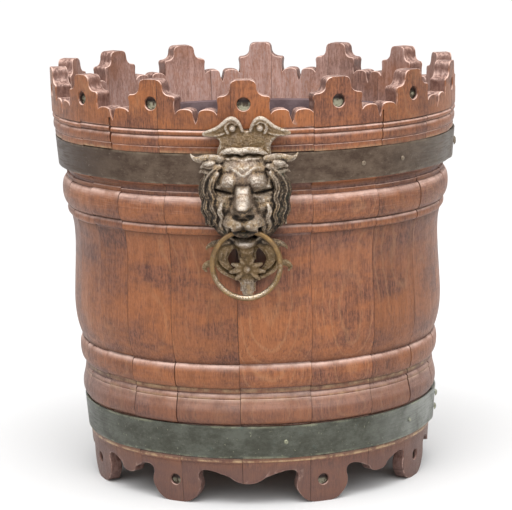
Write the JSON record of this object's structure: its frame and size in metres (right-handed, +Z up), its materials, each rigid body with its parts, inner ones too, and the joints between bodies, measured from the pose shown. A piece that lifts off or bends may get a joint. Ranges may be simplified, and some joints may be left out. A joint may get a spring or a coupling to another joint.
{
  "type": "oak bucket",
  "caption": "Round coopered oak bucket with a sawn crown rim, lobed feet, brass bands, lion-mask ring handles and a lift-out metal liner.",
  "frame": {"origin": "on the floor, under the middle of the bucket", "axes": "+Z up; the front lion mask faces -Y and the back one +Y; +X to the right of someone who faces the front mask"},
  "size_m": [0.3974, 0.4838, 0.406],
  "materials": {
    "stave_oak": "old waxed oak, worn, orange-brown with purple-grey on the ledges",
    "board_oak": "bare old oak",
    "upper_band_brass": "dark tarnished sheet brass",
    "lower_band_brass": "sheet brass with grey-green patina",
    "cast_brass": "antique cast brass, dark in the hollows and rubbed bright on the high places",
    "fixing_steel": "dull dark steel",
    "liner_metal": "dark oxidised sheet metal"
  },
  "bodies": {
    "bucket": {"stave_01": "stave_oak", "stave_02": "stave_oak", "stave_03": "stave_oak", "stave_04": "stave_oak", "stave_05": "stave_oak", "stave_06": "stave_oak", "stave_07": "stave_oak", "stave_08": "stave_oak", "stave_09": "stave_oak", "stave_10": "stave_oak", "stave_11": "stave_oak", "stave_12": "stave_oak", "stave_13": "stave_oak", "stave_14": "stave_oak", "stave_15": "stave_oak", "stave_16": "stave_oak", "stave_17": "stave_oak", "stave_18": "stave_oak", "stave_19": "stave_oak", "bottom_board_1": "board_oak", "bottom_board_2": "board_oak", "bottom_board_3": "board_oak", "bottom_dowel_1": "board_oak", "bottom_dowel_2": "board_oak", "bottom_dowel_3": "board_oak", "bottom_dowel_4": "board_oak", "upper_band": "upper_band_brass", "lower_band": "lower_band_brass", "upper_band_nail_1": "upper_band_brass", "upper_band_nail_2": "upper_band_brass", "lower_band_nail_1": "lower_band_brass", "lower_band_nail_2": "lower_band_brass", "upper_band_rivet_1": "upper_band_brass", "upper_band_rivet_2": "upper_band_brass", "lower_band_rivet_1": "lower_band_brass", "lower_band_rivet_2": "lower_band_brass", "front_lion_mask": "cast_brass", "back_lion_mask": "cast_brass", "front_upper_stud": "fixing_steel", "front_upper_nut": "fixing_steel", "front_lower_stud": "fixing_steel", "front_lower_nut": "fixing_steel", "back_upper_stud": "fixing_steel", "back_upper_nut": "fixing_steel", "back_lower_stud": "fixing_steel", "back_lower_nut": "fixing_steel"},
    "front_handle": {"front_ring": "cast_brass"},
    "back_handle": {"back_ring": "cast_brass"},
    "liner_tub": {"liner": "liner_metal"}
  },
  "joints": [
    {"name": "front_ring_swing", "type": "hinge", "parent": "bucket", "child": "front_handle", "pos_m": [0, -0.21046, 0.27], "axis": [-1, 0, 0], "range_deg": [0, 100]},
    {"name": "back_ring_swing", "type": "hinge", "parent": "bucket", "child": "back_handle", "pos_m": [0, 0.21046, 0.27], "axis": [1, 0, 0], "range_deg": [0, 100]},
    {"name": "liner_lift", "type": "slide", "parent": "bucket", "child": "liner_tub", "axis": [0, 0, 1], "range_m": [0, 0.36]}
  ]
}
